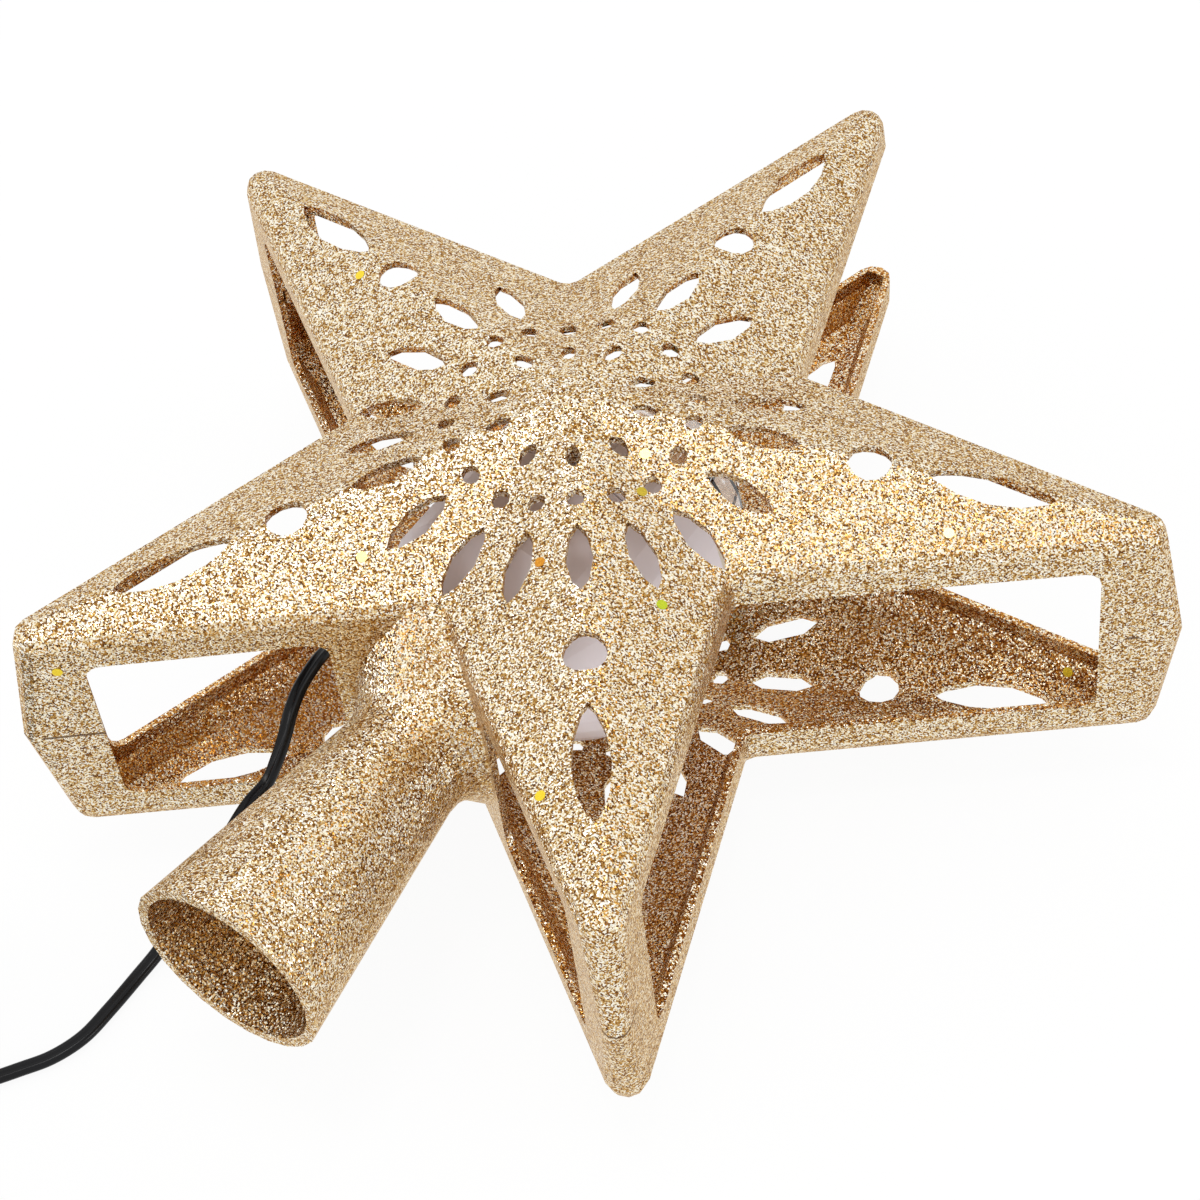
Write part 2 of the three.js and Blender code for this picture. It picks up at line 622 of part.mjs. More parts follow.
// Spur gear about the Y axis; phase is where a tooth points, in tooth pitches from +X.
function gear(teeth, phase) {
  const pitchRadius = (GEAR_MODULE * teeth) / 2;
  const tip = pitchRadius + GEAR_MODULE * ADDENDUM;
  const root = pitchRadius - GEAR_MODULE * DEDENDUM;
  const flanks = [
    [root, -TOOTH_ROOT_FILL], [tip, -TOOTH_TIP_FILL], [tip, TOOTH_TIP_FILL], [root, TOOTH_ROOT_FILL],
  ];
  const points = [];
  for (let tooth = 0; tooth < teeth; tooth += 1) {
    for (const [radius, fill] of flanks) {
      const turn = ((tooth + phase + fill / 2) / teeth) * Math.PI * 2;
      points.push(new THREE.Vector2(radius * Math.cos(turn), radius * Math.sin(turn)));
    }
  }
  const geometry = extrude(new THREE.Shape(points), GEAR_HIGH - GEAR_LOW);
  geometry.rotateX(-Math.PI / 2);
  geometry.translate(0, GEAR_LOW, 0);
  return solid(geometry);
}

const domeRadius = CASE_RADIUS - DOME_INSET;

function domeCarrier() {
  const skirtRadius = CASE_RADIUS - COVER_LIP - SKIRT_GAP;
  const skirtInner = skirtRadius - SKIRT_WALL;
  const skirt = lathe([
    [0, DISC_LOW], [skirtRadius, DISC_LOW], [skirtRadius, FLANGE_LOW], [domeRadius, FLANGE_LOW],
    [domeRadius, FLANGE_HIGH], [skirtInner, FLANGE_HIGH], [skirtInner, DISC_HIGH], [0, DISC_HIGH],
  ], CASE_SIDES);
  return gear(WHEEL_TEETH, 0)
    .add(bar(HUB_RADIUS, hubLow, DISC_HIGH, 20))
    .add(bar(NECK_RADIUS, GEAR_HIGH - 1, DISC_LOW + 1, 20))
    .add(skirt)
    .subtract(bar(SPINDLE_RADIUS + RUNNING_FIT, hubLow - 1, DISC_HIGH + 1, 20));
}

// Lens dome: flat facets inside and out, open below.
function lensDome() {
  const base = FLANGE_HIGH + THRUST_GAP;
  const arc = (radius) => {
    const points = [];
    for (let step = 0; step < DOME_RINGS; step += 1) {
      const turn = (step / DOME_RINGS) * (Math.PI / 2);
      points.push([radius * Math.cos(turn), base + radius * DOME_SQUASH * Math.sin(turn)]);
    }
    return [...points, [0, base + radius * DOME_SQUASH]];
  };
  const outer = arc(domeRadius);
  const inner = arc(domeRadius - DOME_WALL).reverse();
  return lathe([...outer, ...inner, outer[0]], DOME_SIDES);
}

// Motor, shaft and pinion stand beside the spindle on the motor's axis

const motorTop = plateLow - THRUST_GAP;

function motor() {
  const noseEnd = motorTop + MOTOR_NOSE;
  return bar(MOTOR_RADIUS, motorTop - MOTOR_LENGTH, motorTop, 20, motorAxis)
    .add(bar(MOTOR_NOSE_RADIUS, motorTop - 1, noseEnd, 14, motorAxis))
    .subtract(bar(SHAFT_RADIUS + RUNNING_FIT, motorTop - SHAFT_DEPTH, noseEnd + 1, 10, motorAxis));
}

function motorShaft() {
  return bar(SHAFT_RADIUS, motorTop - SHAFT_DEPTH + SEAT, GEAR_HIGH + SEAT, 10, motorAxis);
}

function motorPinion() {
  return gear(PINION_TEETH, PINION_TEETH / 2 + 0.5).translate([motorAxis, 0, 0])
    .subtract(bar(SHAFT_RADIUS + RUNNING_FIT / 2, GEAR_LOW - 1, GEAR_HIGH + 1, 10, motorAxis));
}

// Lamp board on the spindle's spigot, and its lamps

function lampBoard() {
  return ring(SPIGOT_RADIUS + THRUST_GAP, BOARD_RADIUS, BOARD_LOW, BOARD_LOW + BOARD_THICKNESS, 24);
}

function lamp(index) {
  const { x, z } = around(LAMP_REACH, ((index + 0.5) * 360) / LAMP_COUNT);
  const low = BOARD_LOW + BOARD_THICKNESS + THRUST_GAP;
  const shoulder = low + LAMP_BODY;
  const bevel = LAMP_RADIUS * 0.7;
  return lathe([
    [0, low], [LAMP_RIM, low], [LAMP_RIM, low + LAMP_RIM_HEIGHT], [LAMP_RADIUS, low + LAMP_RIM_HEIGHT],
    [LAMP_RADIUS, shoulder], [bevel, shoulder + bevel], [0, shoulder + LAMP_RADIUS],
  ], 10).translate([x, 0, z]);
}

// Drive board: stands on two feet over the case floor, with a chip and a capacitor on it.
function driveBoard() {
  const low = CASE_FLOOR + CASE_WALL + SEAT;
  const level = low + DRIVER_STANDOFF;
  const top = level + DRIVER_THICKNESS;
  const { x, z } = DRIVER_PLACE;
  const feet = [-1, 1].map((side) => bar(DRIVER_FOOT, low, top - DRIVER_THICKNESS / 2, 8,
    x + side * (DRIVER_LENGTH / 2 - DRIVER_FOOT * 2), z));
  return block(DRIVER_LENGTH, DRIVER_THICKNESS, DRIVER_WIDTH, x, (level + top) / 2, z)
    .add(union(feet))
    .add(block(CHIP.size, CHIP.height + 1, CHIP.size, x, top + (CHIP.height - 1) / 2, z))
    .add(bar(CAPACITOR.radius, level, top + CAPACITOR.height, 12, x + CAPACITOR.x, z));
}

function caseScrew(degrees) {
  const { x, z } = around(pillarReach, degrees);
  const seat = screwSeat - THRUST_GAP;
  return bar(SCREW_HEAD, seat - SCREW_HEAD_HEIGHT, seat, 12, x, z)
    .add(bar(SCREW_SHANK, seat - SCREW_HEAD_HEIGHT / 2, BOSS_TOP - SCREW_TIP, 8, x, z));
}

// Bush that guides the lead out of the projector's floor.
function leadBush() {
  const low = CASE_FLOOR - BUSH_LENGTH;
  const lip = CASE_FLOOR - THRUST_GAP;
  const bore = LEAD_RADIUS + LEAD_GAP;
  return lathe([
    [bore, low], [BUSH_RADIUS, low], [BUSH_LIP, lip - BUSH_LIP_HEIGHT], [BUSH_LIP, lip],
    [BUSH_RADIUS, lip], [BUSH_RADIUS, CASE_FLOOR + CASE_WALL], [bore, CASE_FLOOR + CASE_WALL], [bore, low],
  ], 16).translate([-BUSH_REACH, 0, 0]);
}

// Tubes that follow a route point by point

class PointRoute extends THREE.Curve {
  constructor(points) {
    super();
    this.points = points;
  }

  getPoint(t) {
    const place = THREE.MathUtils.clamp(t, 0, 1) * (this.points.length - 1);
    const index = Math.min(Math.floor(place), this.points.length - 2);
    return this.points[index].clone().lerp(this.points[index + 1], place - index);
  }

  getUtoTmapping(u) {
    return u;
  }
}

function tube(points, radius, sides) {
  const section = [];
  for (let side = 0; side < sides; side += 1) {
    const turn = (side / sides) * Math.PI * 2;
    section.push(new THREE.Vector2(radius * Math.cos(turn), radius * Math.sin(turn)));
  }
  const extrudePath = new PointRoute(points);
  const steps = points.length - 1;
  return solid(new THREE.ExtrudeGeometry(new THREE.Shape(section), { steps, extrudePath }));
}

// Coil: spirals in and out in layers, and climbs a layer in the half turn where it reverses.
const coilStartAngle = COIL_HEADING + 90;
const coilTurns = COIL_TURNS - 1 + THREE.MathUtils.euclideanModulo(coilStartAngle, 360) / 360;
const turnsPerLayer = coilTurns / COIL_LAYERS;
const coilOuter = COIL_RADIUS + (turnsPerLayer * COIL_RADIAL_STEP) / 2;
const coilInner = COIL_RADIUS - (turnsPerLayer * COIL_RADIAL_STEP) / 2;
const coilLow = LEAD_RADIUS + COIL_LIFT;

function coilPoint(turns) {
  const layer = Math.min(Math.floor(turns / turnsPerLayer), COIL_LAYERS - 1);
  const inLayer = turns - layer * turnsPerLayer;
  const wayIn = layer % 2 === 0 ? inLayer : turnsPerLayer - inLayer;
  const radius = coilOuter - COIL_RADIAL_STEP * wayIn;
  let climbed = 0;
  for (let reversal = 1; reversal < COIL_LAYERS; reversal += 1) {
    const at = reversal * turnsPerLayer;
    climbed += THREE.MathUtils.smoothstep(turns, at - 0.25, at + 0.25);
  }
  const angle = rad(coilStartAngle) - turns * Math.PI * 2;
  return new THREE.Vector3(
    COIL_CENTRE.x + radius * Math.cos(angle),
    COIL_CENTRE.y + radius * Math.sin(angle),
    coilLow + climbed * COIL_LAYER_STEP,
  );
}

const heading = new THREE.Vector3(Math.cos(rad(COIL_HEADING)), Math.sin(rad(COIL_HEADING)), 0);
const coilStart = coilPoint(0).addScaledVector(heading, -STRAIGHT_END);

function coilRoute() {
  const points = [coilStart];
  const steps = Math.round(coilTurns * COIL_STEPS);
  for (let step = 0; step <= steps; step += 1) {
    points.push(coilPoint((step / steps) * coilTurns));
  }
  const leave = points[points.length - 1];
  const drop = SUPPLY.height / 2 - leave.z;
  const run = SUPPLY_RUN - LEAD_GAP;
  for (const share of [0.2, 0.4, 0.6, 0.8, 1]) {
    const sunk = drop * THREE.MathUtils.smoothstep(share, 0, 0.8);
    points.push(new THREE.Vector3(leave.x, leave.y - run * share, leave.z + sunk));
  }
  return points;
}

function leadRoute() {
  const points = LEAD_ROUTE.map(([x, y, z]) => new THREE.Vector3(x, y, z));
  for (const back of [STRAIGHT_END, 0]) {
    points.push(coilStart.clone().addScaledVector(heading, -LEAD_GAP - back));
  }
  const curve = new THREE.CatmullRomCurve3(points, false, 'centripetal');
  return curve.getSpacedPoints(LEAD_STEPS);
}

function lengthOf(points) {
  return points.reduce((sum, point, i) => (i ? sum + point.distanceTo(points[i - 1]) : 0), 0);
}

// Least gap between parts of the coil that are more than half a turn apart along it.
function leastGap(points) {
  let least = Infinity;
  for (let i = 0; i < points.length; i += 1) {
    for (let j = i + COIL_STEPS / 2; j < points.length; j += 1) {
      least = Math.min(least, points[i].distanceTo(points[j]));
    }
  }
  return least - LEAD_RADIUS * 2;
}

// Tie round the coil: a flat band that passes through its middle and under it.
function coilTie() {
  const span = coilOuter - coilInner + (LEAD_RADIUS + TIE_FIT) * 2;
  const rise = (COIL_LAYERS - 1) * COIL_LAYER_STEP + (LEAD_RADIUS + TIE_FIT) * 2;
  const x = COIL_CENTRE.x - COIL_RADIUS;
  const z = coilLow + ((COIL_LAYERS - 1) * COIL_LAYER_STEP) / 2;
  const thick = TIE_THICKNESS * 2;
  return block(span + thick, TIE_WIDTH, rise + thick, x, COIL_CENTRE.y, z)
    .subtract(block(span, TIE_WIDTH + 1, rise, x, COIL_CENTRE.y, z));
}

// Plug-in supply: case, lid with two blades, and the relief that the lead enters.

const supplyX = COIL_CENTRE.x + coilOuter;
const reliefY = COIL_CENTRE.y - SUPPLY_RUN;
const supplyTop = reliefY - RELIEF.length;
const supplySplit = supplyTop - SUPPLY.length;

function supplySlab(fromY, length) {
  const { width, height, corner } = SUPPLY;
  const shape = new THREE.Shape();
  const [halfX, halfZ] = [width / 2, height / 2];
  shape.absarc(halfX - corner, halfZ - corner, corner, 0, Math.PI / 2);
  shape.absarc(corner - halfX, halfZ - corner, corner, Math.PI / 2, Math.PI);
  shape.absarc(corner - halfX, corner - halfZ, corner, Math.PI, Math.PI * 1.5);
  shape.absarc(halfX - corner, corner - halfZ, corner, Math.PI * 1.5, Math.PI * 2);
  const geometry = extrude(shape, length);
  geometry.rotateX(Math.PI / 2);
  geometry.translate(supplyX, fromY, halfZ);
  return solid(geometry);
}

function supplyBlade(side) {
  const { width, thickness, length, spacing, hole } = BLADE;
  const tip = supplySplit - SUPPLY_LID - length;
  const x = supplyX + (side * spacing) / 2;
  const z = SUPPLY.height / 2;
  const drill = new THREE.CylinderGeometry(hole, hole, thickness * 2, 12);
  drill.rotateZ(Math.PI / 2);
  drill.translate(x, tip + width / 2, z);
  return block(thickness, length, width, x, tip + length / 2, z).subtract(solid(drill));
}

function supplyRelief() {
  const { length, radius, tipRadius } = RELIEF;
  return lathe([[0, 0], [radius, 0], [tipRadius, length], [0, length]], 14)
    .translate([supplyX, supplyTop, SUPPLY.height / 2]);
}

// Assembly

const finishes = {
  glitter: { color: 0xd6b277, roughness: 0.42, metalness: 0.55 },
  whitePlastic: { color: 0xe9e6ee, roughness: 0.38, metalness: 0 },
  clearPlastic: { color: 0xf2f6fa, roughness: 0.06, metalness: 0, transparent: true, opacity: 0.35 },
  steel: { color: 0xb9bcc0, roughness: 0.3, metalness: 0.9 },
  circuitBoard: { color: 0x1f6b3a, roughness: 0.5, metalness: 0 },
  nylon: { color: 0xefe9d8, roughness: 0.5, metalness: 0 },
  black: { color: 0x17181c, roughness: 0.45, metalness: 0 },
  brass: { color: 0xc9a24e, roughness: 0.3, metalness: 0.9 },
};

const frontShell = shell(0).add(keys());
const starBox = frontShell.boundingBox();
const middle = -(starBox.min[1] + starBox.max[1]) / 2;

const root = new THREE.Group();
const star = new THREE.Group();
star.position.set(0, middle, HUB_HEIGHT);
const onTable = new THREE.Group();
onTable.position.set(0, middle, 0);
root.add(star, onTable);

function place(parent, name, manifold, finish) {
  const mesh = new THREE.Mesh(geometryOf(manifold), new THREE.MeshStandardMaterial(finishes[finish]));
  mesh.name = name;
  parent.add(mesh);
  return mesh;
}

place(star, 'front_shell', frontShell, 'glitter');
place(star, 'back_shell', shell(BACK_SIDES_FEWER), 'glitter').rotation.y = Math.PI;
place(star, 'case_base', caseBase(), 'whitePlastic');
place(star, 'case_cover', caseCover(), 'whitePlastic');
place(star, 'chassis_plate', chassisPlate(), 'steel');
place(star, 'spindle', spindle(), 'steel');
place(star, 'thrust_washer', thrustWasher(), 'nylon');
place(star, 'retaining_clip', retainingClip(), 'steel');
place(star, 'dome_carrier', domeCarrier(), 'nylon');
place(star, 'lens_dome', lensDome(), 'clearPlastic');
place(star, 'motor', motor(), 'steel');
place(star, 'motor_shaft', motorShaft(), 'steel');
place(star, 'motor_pinion', motorPinion(), 'nylon');
place(star, 'lamp_board', lampBoard(), 'circuitBoard');
for (let index = 0; index < LAMP_COUNT; index += 1) {
  place(star, `lamp_${index + 1}`, lamp(index), 'clearPlastic');
}
place(star, 'drive_board', driveBoard(), 'circuitBoard');
PILLAR_ANGLES.forEach((degrees, index) => {
  place(star, `case_screw_${index + 1}`, caseScrew(degrees), 'steel');
});
place(star, 'lead_bush', leadBush(), 'black');

const run = leadRoute();
const coil = coilRoute();
const leadLength = lengthOf(run) + lengthOf(coil);
console.log(`lead ${leadLength.toFixed(0)} mm, coil gap ${leastGap(coil).toFixed(2)} mm`);
place(onTable, 'lead', tube(run, LEAD_RADIUS, LEAD_SIDES), 'black');
place(onTable, 'lead_coil', tube(coil, LEAD_RADIUS, COIL_SIDES), 'black');
place(onTable, 'coil_tie', coilTie(), 'black');
place(onTable, 'supply_case', supplySlab(supplyTop, SUPPLY.length), 'black');
place(onTable, 'supply_lid', supplySlab(supplySplit, SUPPLY_LID), 'black');
place(onTable, 'supply_blade_1', supplyBlade(-1), 'brass');
place(onTable, 'supply_blade_2', supplyBlade(1), 'brass');
place(onTable, 'supply_relief', supplyRelief(), 'black');

export default root;
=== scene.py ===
"""Dresses the star tree topper: glitter, sequins, projector, flex, floor and lamps."""

import json
import math

import bmesh
import bpy
from mathutils import Matrix, Vector
from mathutils.bvhtree import BVHTree


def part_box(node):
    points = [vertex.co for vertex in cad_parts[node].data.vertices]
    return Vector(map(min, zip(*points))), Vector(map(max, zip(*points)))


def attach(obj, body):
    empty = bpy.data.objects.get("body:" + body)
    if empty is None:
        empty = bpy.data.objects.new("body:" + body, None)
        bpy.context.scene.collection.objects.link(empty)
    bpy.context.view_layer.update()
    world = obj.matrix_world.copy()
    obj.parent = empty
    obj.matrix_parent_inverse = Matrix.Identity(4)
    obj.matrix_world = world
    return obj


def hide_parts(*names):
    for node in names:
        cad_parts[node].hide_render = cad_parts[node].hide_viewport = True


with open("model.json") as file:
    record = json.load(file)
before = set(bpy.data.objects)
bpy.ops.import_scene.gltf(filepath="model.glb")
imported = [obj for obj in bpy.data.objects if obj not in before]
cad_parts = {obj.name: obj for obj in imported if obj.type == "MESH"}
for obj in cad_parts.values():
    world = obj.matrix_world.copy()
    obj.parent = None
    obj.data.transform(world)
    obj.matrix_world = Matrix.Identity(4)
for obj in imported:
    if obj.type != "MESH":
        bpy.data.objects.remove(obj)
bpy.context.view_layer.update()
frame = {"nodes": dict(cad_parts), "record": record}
nodes = frame["nodes"]
MM = 0.001

# The star's centre in the row frame, from the seam's height and the socket's mouth
MOUTH_TO_CENTRE = 119.8 * MM
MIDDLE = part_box("front_shell")[0][1] + MOUTH_TO_CENTRE
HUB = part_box("back_shell")[1][2]
STAR_CENTRE = Vector((0, MIDDLE, HUB))

# The photograph's camera: its place from the star's centre in millimetres, and its angles in degrees
CAMERA_PLACE = (261.702, -312.627, 442.353)
CAMERA_AZIMUTH = -50.082
CAMERA_ELEVATION = 48.478
CAMERA_ROLL = -8.293
LENS = 89.09
SENSOR = 36

# Shading and edge rounding of the CAD nodes, with angles in degrees and roundings in millimetres
SMOOTH_UNDER = 35
ROUND_OVER = 40
ROUNDED = {
    "case_base": 0.5,
    "case_cover": 0.4,
    "chassis_plate": 0.15,
    "coil_tie": 0.15,
    "drive_board": 0.15,
    "lamp_board": 0.15,
    "lead_bush": 0.2,
    "motor": 0.4,
    "supply_blade_1": 0.2,
    "supply_blade_2": 0.2,
    "supply_case": 0.8,
    "supply_lid": 0.6,
    "supply_relief": 0.3,
}

# Glitter: the size of a flake, and how much of its shade comes from finer flakes and from patches
FLAKE = 0.29 * MM
FINE_PER_FLAKE = 1.8
FINE_SHARE = 0.12
PATCH_SHARE = 0.1
# How much darker the flakes are on the star's inside, as painted shade
INSIDE_PAINTED_SHADE = 0.04

# How far flakes lean out of the surface, and how far the coat over them follows
FLAKE_LEAN = 0.62
FINE_LEAN = 0.2
COAT_LEAN = 0.4

# How far out of the star's centre a surface's plane lies, less than nothing where it faces the centre:
# the painted shade of the inside, a deeper and darker gold, begins at the first and is full at the second
INSIDE_SHADE_BEGINS = 2 * MM
INSIDE_SHADE_FULL = -8 * MM

# Shades of the flakes from the darkest to the lightest, and the share of flakes below each
OUTSIDE_FLAKES = [
    (0.05, (78, 38, 2)),
    (0.26, (146, 94, 22)),
    (0.46, (196, 151, 76)),
    (0.57, (231, 206, 152)),
    (0.67, (249, 239, 210)),
    (0.82, (254, 251, 238)),
]
# Inside flakes: darker, more orange shades that paint the shade and the reflected gold light inside the
# star
INSIDE_SHADE_FLAKES = [
    (0.05, (98, 42, 1)),
    (0.30, (172, 104, 22)),
    (0.56, (222, 158, 64)),
    (0.66, (250, 226, 172)),
    (0.80, (255, 250, 232)),
]

# Seam between the shells, which the glitter bridges in places and on the socket
SEAM_HALF = 0.32 * MM
SEAM_SHADE = (84, 50, 18)
SEAM_STRENGTH = 0.85
SEAM_BRIDGED = 0.48
SOCKET_REACH = 30 * MM

# Sequins in the glitter. Each place is in millimetres from the star's centre, and the sequin lies
# where the shells are nearest to it
SEQUIN_RADIUS = 1.05 * MM
SEQUIN_LIFT = 0.06 * MM
SEQUIN_SIDES = 16
SEQUIN_TURN = 0.7
SEQUIN_COLOURS = {
    "yellow": ((250, 226, 60), (236, 200, 34)),
    "pale": ((244, 230, 140), (234, 212, 112)),
    "cream": ((240, 220, 172), (228, 204, 150)),
    "olive": ((206, 182, 54), (186, 158, 40)),
    "green": ((200, 212, 44), (176, 190, 30)),
    "orange": ((226, 158, 40), (204, 128, 26)),
}
SEQUINS = [
    (-64.0, 15.4, 32.9, "yellow"),
    (19.0, -3.1, 37.8, "pale"),
    (22.7, -10.2, 35.9, "olive"),
    (15.5, -34.0, 35.5, "orange"),
    (39.1, -29.2, 31.7, "green"),
    (42.7, -74.9, 28.4, "yellow"),
    (-17.2, -46.8, 31.9, "pale"),
    (-59.8, -91.0, 19.4, "yellow"),
    (75.3, 13.4, 29.3, "cream"),
    (90.0, 35.2, -25.7, "yellow"),
]

# Lead, in millimetres: x and y from the star's centre, and the height over the table, as in part.mjs
LEAD_ROUTE = [
    (-14, -43, 41.9), (-14, -46.2, 42.1), (-15.4, -49.8, 43.5), (-18.6, -51.6, 46.1),
    (-22.6, -51.4, 48.1), (-26, -51.2, 47.3), (-28.2, -52.6, 44.9), (-29.6, -55.4, 42.3),
    (-30.4, -59, 39.5), (-30.4, -62.6, 36.5), (-30.3, -66, 32.3), (-30.8, -69.4, 27.7),
    (-31.8, -72.4, 23.6), (-33.2, -77.2, 21.3), (-34.3, -84, 17.2), (-35.9, -92, 11.2),
    (-37.3, -99.5, 5.8), (-38, -106, 2.7), (-38.4, -112.5, 1.7), (-38.3, -121.2, 1.7),
    (-38.7, -129.2, 1.7), (-41.1, -135.9, 1.7), (-44.8, -141.2, 1.7), (-49, -146.8, 1.7),
    (-54, -153.4, 1.8), (-59.3, -160.2, 2.2),
]
LEAD_RADIUS = 1.55
LEAD_GAP = 0.3
STRAIGHT_END = 4
SPAN_STEPS = 8

# Coil, and the run of lead from it to the supply
COIL_TURNS = 13
COIL_LAYERS = 4
COIL_RADIAL_STEP = 3.6
COIL_LAYER_STEP = 3.65
COIL_RADIUS = 18
COIL_CENTRE = (-86.0, -155.6)
COIL_LIFT = 1
COIL_HEADING = 232.3
COIL_STEPS = 36
CLIMB_HALF = 0.25
SUPPLY_RUN = 26
SUPPLY_MIDDLE = 12.5
SINK_SHARE = 0.8
RUN_STEPS = 10

# Twin flex: two round cores side by side with a web between them
CORE_RADIUS = 1.0 * MM
CORE_REACH = 0.55 * MM
CORE_SIDES = 10
WEB_HALF = 0.66 * CORE_RADIUS

# Floor, in metres, with how much of it glows in the camera's view, and where the lamps look
FLOOR_HALF = 3
FLOOR_GLOW = 0.93
LAMP_AIM = Vector((0, 0, 0.04))
WHITE = (1, 1, 1, 1)

# The colour sockets of Blender's Mix node, whose names are not unique
MIX_FIRST = 6
MIX_SECOND = 7
MIX_RESULT = 2


# Objects

def link(obj):
    bpy.context.scene.collection.objects.link(obj)
    return obj


def from_bmesh(name, bm, materials, smooth=True):
    mesh = bpy.data.meshes.new(name)
    bmesh.ops.recalc_face_normals(bm, faces=bm.faces)
    bm.to_mesh(mesh)
    bm.free()
    for face in mesh.polygons:
        face.use_smooth = smooth
    for material in materials:
        mesh.materials.append(material)
    return link(bpy.data.objects.new(name, mesh))


def place_camera():
    data = bpy.data.cameras.new("photo_camera")
    data.lens = LENS
    data.sensor_width = SENSOR
    data.sensor_fit = "HORIZONTAL"
    data.clip_start = 10 * MM
    camera = link(bpy.data.objects.new("photo_camera", data))
    camera.matrix_world = (
        Matrix.Translation(Vector(CAMERA_PLACE) * MM + STAR_CENTRE)
        @ Matrix.Rotation(math.radians(CAMERA_AZIMUTH + 90), 4, "Z")
        @ Matrix.Rotation(math.radians(90 - CAMERA_ELEVATION), 4, "X")
        @ Matrix.Rotation(math.radians(CAMERA_ROLL), 4, "Z")
    )
    bpy.context.scene.camera = camera


def smoothing():
    """Node group that shades faces smooth and keeps the edges over an angle crisp."""
    tree = bpy.data.node_groups.new("smoothing", "GeometryNodeTree")
    tree.interface.new_socket("Geometry", in_out="INPUT", socket_type="NodeSocketGeometry")
    tree.interface.new_socket("Geometry", in_out="OUTPUT", socket_type="NodeSocketGeometry")
    start = tree.nodes.new("NodeGroupInput")
    end = tree.nodes.new("NodeGroupOutput")
    angle = tree.nodes.new("GeometryNodeInputMeshEdgeAngle")
    less = tree.nodes.new("FunctionNodeCompare")
    less.data_type = "FLOAT"
    less.operation = "LESS_EQUAL"
    less.inputs[1].default_value = math.radians(SMOOTH_UNDER)
    faces = tree.nodes.new("GeometryNodeSetShadeSmooth")
    faces.domain = "FACE"
    edges = tree.nodes.new("GeometryNodeSetShadeSmooth")
    edges.domain = "EDGE"
    tree.links.new(start.outputs[0], faces.inputs["Geometry"])
    tree.links.new(faces.outputs[0], edges.inputs["Geometry"])
    tree.links.new(angle.outputs[0], less.inputs[0])
    tree.links.new(less.outputs[0], edges.inputs["Shade Smooth"])
    tree.links.new(edges.outputs[0], end.inputs[0])
    return tree


def round_edges(obj, width):
    modifier = obj.modifiers.new("round", "BEVEL")
    modifier.width = width
    modifier.segments = 2
    modifier.limit_method = "ANGLE"
    modifier.angle_limit = math.radians(ROUND_OVER)


# Node materials

def srgb(red, green, blue):
    def linear(value):
        value /= 255
        return value / 12.92 if value <= 0.04045 else ((value + 0.055) / 1.055) ** 2.4

    return linear(red), linear(green), linear(blue), 1


class Material:
    """A material's node tree, built round its shader a node at a time."""

    def __init__(self, name):
        self.material = bpy.data.materials.new(name)
        self.material.use_nodes = True
        self.tree = self.material.node_tree
        self.shader = self.tree.nodes["Principled BSDF"]
        self.coords = self.node("ShaderNodeTexCoord").outputs["Object"]

    def feed(self, value, socket):
        if isinstance(value, bpy.types.NodeSocket):
            self.tree.links.new(value, socket)
        else:
            socket.default_value = value

    def node(self, kind, inputs=None, **settings):
        node = self.tree.nodes.new(kind)
        for key, value in settings.items():
            setattr(node, key, value)
        for key, value in (inputs or {}).items():
            self.feed(value, node.inputs[key])
        return node

    def noise(self, scale, detail=3, coords=None):
        inputs = {"Vector": coords or self.coords, "Scale": scale, "Detail": detail}
        return self.node("ShaderNodeTexNoise", inputs).outputs["Fac"]

    def cells(self, scale):
        inputs = {"Vector": self.coords, "Scale": scale}
        return self.node("ShaderNodeTexVoronoi", inputs).outputs["Color"]

    def channels(self, colour):
        return self.node("ShaderNodeSeparateColor", {"Color": colour}).outputs

    def spread(self, value, low, high):
        inputs = {"Value": value, "To Min": low, "To Max": high}
        return self.node("ShaderNodeMapRange", inputs).outputs[0]

    def ramp(self, value, stops):
        node = self.node("ShaderNodeValToRGB", {"Fac": value})
        elements = node.color_ramp.elements
        while len(elements) < len(stops):
            elements.new(0.5)
        for element, (place, colour) in zip(elements, stops):
            element.position = place
            element.color = srgb(*colour)
        return node.outputs["Color"]

    def maths(self, operation, *values):
        return self.node("ShaderNodeMath", dict(enumerate(values)), operation=operation).outputs[0]

    def vector(self, operation, *values):
        return self.node("ShaderNodeVectorMath", dict(enumerate(values)), operation=operation).outputs[0]

    def scaled(self, value, factor):
        inputs = {0: value, "Scale": factor}
        return self.node("ShaderNodeVectorMath", inputs, operation="SCALE").outputs[0]

    def leaning(self, *leans):
        """The surface's normal, which leans its own way in each cell of the patterns given."""
        normal = self.node("ShaderNodeNewGeometry").outputs["Normal"]
        for pattern, amount in leans:
            lean = self.vector("SUBTRACT", pattern, (0.5, 0.5, 0.5))
            normal = self.vector("ADD", normal, self.scaled(lean, amount))
        return self.vector("NORMALIZE", normal)

    def mix(self, factor, first, second):
        inputs = {0: factor, MIX_FIRST: first, MIX_SECOND: second}
        return self.node("ShaderNodeMix", inputs, data_type="RGBA").outputs[MIX_RESULT]

    def bump(self, height, strength, distance):
        inputs = {"Height": height, "Strength": strength, "Distance": distance}
        return self.node("ShaderNodeBump", inputs).outputs[0]

    def shade(self, **sockets):
        for key, value in sockets.items():
            self.feed(value, self.shader.inputs[key.replace("_", " ")])
        return self.material


# Glitter

def inside_shade_mask(m, place):
    """1 on surfaces that face the star's centre, which are inside it, and 0 on the others: the mask of the
    painted shade inside the star.
    """
    surface = m.node("ShaderNodeNewGeometry").outputs["True Normal"]
    outward = m.node("ShaderNodeVectorMath", {0: place, 1: surface}, operation="DOT_PRODUCT")
    inputs = {"Value": outward.outputs["Value"], "From Min": INSIDE_SHADE_BEGINS, "From Max": INSIDE_SHADE_FULL}
    return m.node("ShaderNodeMapRange", inputs).outputs[0]


